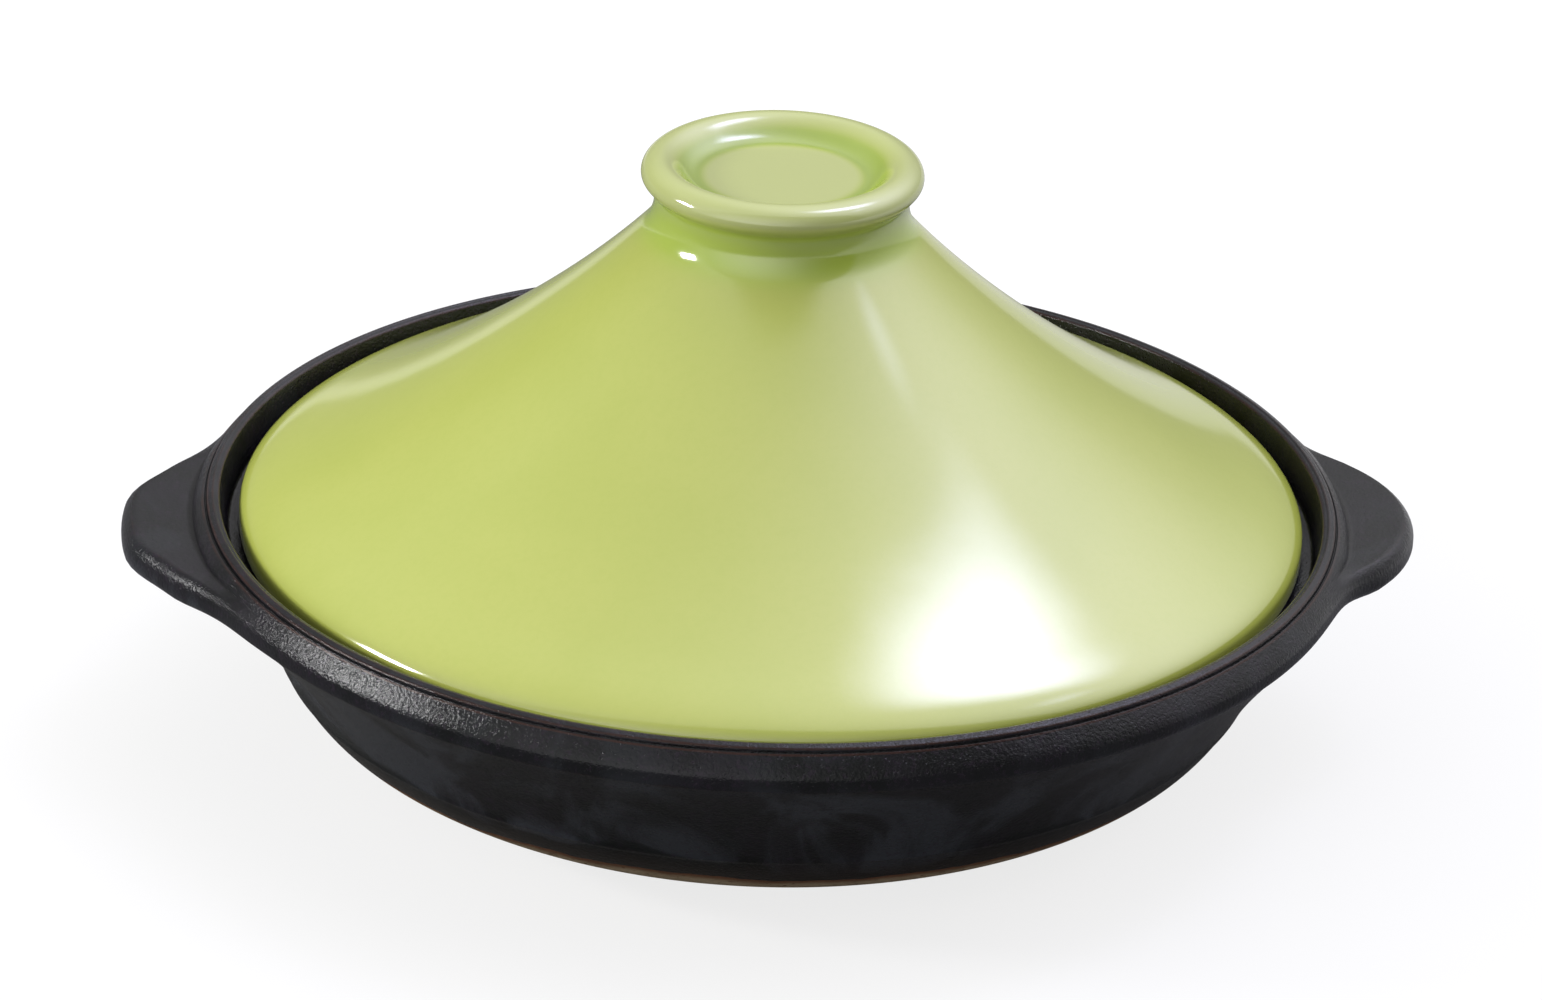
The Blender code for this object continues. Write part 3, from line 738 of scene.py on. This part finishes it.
def glowing(name, place, width, depth, brightness, feather, colour=WHITE):
    """A rectangular lamp that faces the pot and fades to its edges. A white surface has a brightness of 1."""
    light = bpy.data.lights.new(name, "AREA")
    light.shape = "RECTANGLE"
    light.size = width
    light.size_y = depth
    light.energy = brightness * pi * width * depth
    light.color = colour
    lamp = bpy.data.objects.new(name, light)
    lamp.location = place
    lamp.rotation_euler = (POT_MIDDLE - place).to_track_quat("-Z", "Y").to_euler()
    bpy.context.scene.collection.objects.link(lamp)
    light.use_nodes = True
    tree = light.node_tree
    across = grown(tree, "ShaderNodeNewGeometry").outputs["Parametric"]
    parts = grown(tree, "ShaderNodeSeparateXYZ", {0: across})
    fades = []
    for axis in (0, 1):
        off_middle = computed(tree, "ABSOLUTE", computed(tree, "SUBTRACT", parts.outputs[axis], 0.5))
        fades.append(ranged(tree, off_middle, 0.5 - feather, 0.5, 1.0, 0.0))
    tree.links.new(computed(tree, "MULTIPLY", *fades), tree.nodes["Emission"].inputs["Strength"])


floor_mesh = bmesh.new()
bmesh.ops.create_grid(floor_mesh, x_segments=1, y_segments=1, size=STUDIO_FLOOR_HALF)
floor_data = bpy.data.meshes.new("studio_floor")
floor_mesh.to_mesh(floor_data)
floor_mesh.free()
floor_paint = bpy.data.materials.new("pale floor")
floor_paint.use_nodes = True
floor_tree = floor_paint.node_tree
floor_shader = floor_tree.nodes["Principled BSDF"]
floor_shader.inputs["Base Color"].default_value = (0.18, 0.18, 0.18, 1.0)
floor_shader.inputs["Roughness"].default_value = 0.9
floor_shader.inputs["Specular IOR Level"].default_value = 0.0
floor_shader.inputs["Emission Color"].default_value = (*WHITE, 1.0)
path = grown(floor_tree, "ShaderNodeLightPath").outputs
floor_place = grown(floor_tree, "ShaderNodeTexCoord").outputs["Object"]
from_pot = grown(floor_tree, "ShaderNodeVectorMath", {0: floor_place}, operation="LENGTH").outputs["Value"]
whiteness = ranged(floor_tree, from_pot, 0.10, 0.45, 0.79, 0.92)
seen = computed(floor_tree, "MULTIPLY", path["Is Camera Ray"], whiteness)
mirrored = computed(floor_tree, "MAXIMUM", path["Is Glossy Ray"], path["Is Transmission Ray"])
# For reflections only, the floor glows far off and, at its back right, has a painted pool of light where the
# softbox would fall.
back_right = grown(floor_tree, "ShaderNodeVectorMath", {0: floor_place, 1: (0.85, 0.53, 0.0)},
                   operation="DOT_PRODUCT").outputs["Value"]
painted_light_pool = ranged(floor_tree, back_right, 0.16, 0.36, 0.0, 0.50)
lit_far = ranged(floor_tree, from_pot, 0.8, 3.0, 0.0, 0.50)
reflected_floor_glow = computed(floor_tree, "MAXIMUM", painted_light_pool, lit_far)
shine = computed(floor_tree, "MULTIPLY_ADD", mirrored, reflected_floor_glow, seen)
floor_tree.links.new(shine, floor_shader.inputs["Emission Strength"])
floor_data.materials.append(floor_paint)
floor = bpy.data.objects.new("studio_floor", floor_data)
floor.location.z = -STUDIO_FLOOR_DROP
bpy.context.scene.collection.objects.link(floor)

glowing("softbox", from_camera(0.695, 0.335, 1.715), width=0.78, depth=1.20, brightness=7.6, feather=0.47,
        colour=SOFTBOX_COLOUR)
glowing("window", from_camera(-1.459, -0.153, 0.61), width=0.44, depth=0.26, brightness=64.0, feather=0.22)
glowing("side_panel", from_camera(1.26, -0.10, 1.60), width=0.52, depth=0.42, brightness=1.6, feather=0.48,
        colour=PANEL_COLOUR)

world = bpy.data.worlds.new("studio")
world.use_nodes = True
sky = world.node_tree
sky_light = sky.nodes["Background"]
heading = grown(sky, "ShaderNodeTexCoord").outputs["Generated"]


def facing(direction):
    """How nearly a ray heads in one direction, -1 to 1."""
    unit = tuple(direction.normalized())
    return grown(sky, "ShaderNodeVectorMath", {0: heading, 1: unit}, operation="DOT_PRODUCT").outputs["Value"]


def lobe(direction, fall):
    """A soft round glow in one direction, narrower as the fall is larger."""
    return computed(sky, "POWER", computed(sky, "MAXIMUM", facing(direction), 0.0), fall)


upwards = facing(from_camera(0.0, 0.0, 1.0))
behind_pot = facing(from_camera(0.0, 1.0, 0.0))
dome = ranged(sky, upwards, 0.30, 0.66, 0.27, 0.62, smooth=False)
halo = lobe(from_camera(0.55, 0.31, 0.78), HALO_FALL)
low_left = lobe(from_camera(-0.45, -0.88, 0.04), LOW_LEFT_FALL)
glow = computed(sky, "MULTIPLY_ADD", halo, HALO_BRIGHTNESS, dome)
glow = computed(sky, "MULTIPLY", glow, ranged(sky, behind_pot, -0.44, -0.33, 0.30, 1.0))
glow = computed(sky, "MULTIPLY_ADD", low_left, LOW_LEFT_BRIGHTNESS, glow)
tint = blended(sky, halo, WHITE, HALO_COLOUR)
beheld = grown(sky, "ShaderNodeLightPath").outputs["Is Camera Ray"]
strength = grown(sky, "ShaderNodeMix", {0: beheld, 2: glow, 3: 1.0}, data_type="FLOAT").outputs[0]
sky.links.new(strength, sky_light.inputs["Strength"])
sky.links.new(blended(sky, beheld, tint, WHITE), sky_light.inputs["Color"])
bpy.context.scene.world = world


# The camera: a long lens about 1.9 m away and 25 degrees above the pot, a little to the left of its front and
# rolled by 2 degrees. The picture's colours are the plain sRGB ones.
CAMERA_PLACE = (-0.1479, -1.6900, 0.8471)
CAMERA_AIM = (-0.00011, 0.00001, 0.05901)
CAMERA_ROLL = radians(1.972)
LENS = 186.77
SENSOR_WIDTH = 36.0

view = bpy.data.cameras.new("camera")
view.lens = LENS
view.sensor_width = SENSOR_WIDTH
camera = bpy.data.objects.new("camera", view)
aim = (Vector(CAMERA_AIM) - Vector(CAMERA_PLACE)).to_track_quat("-Z", "Y").to_matrix().to_4x4()
camera.matrix_world = Matrix.Translation(CAMERA_PLACE) @ aim @ Matrix.Rotation(CAMERA_ROLL, 4, "Z")
bpy.context.scene.collection.objects.link(camera)
bpy.context.scene.camera = camera
bpy.context.scene.view_settings.view_transform = "Standard"
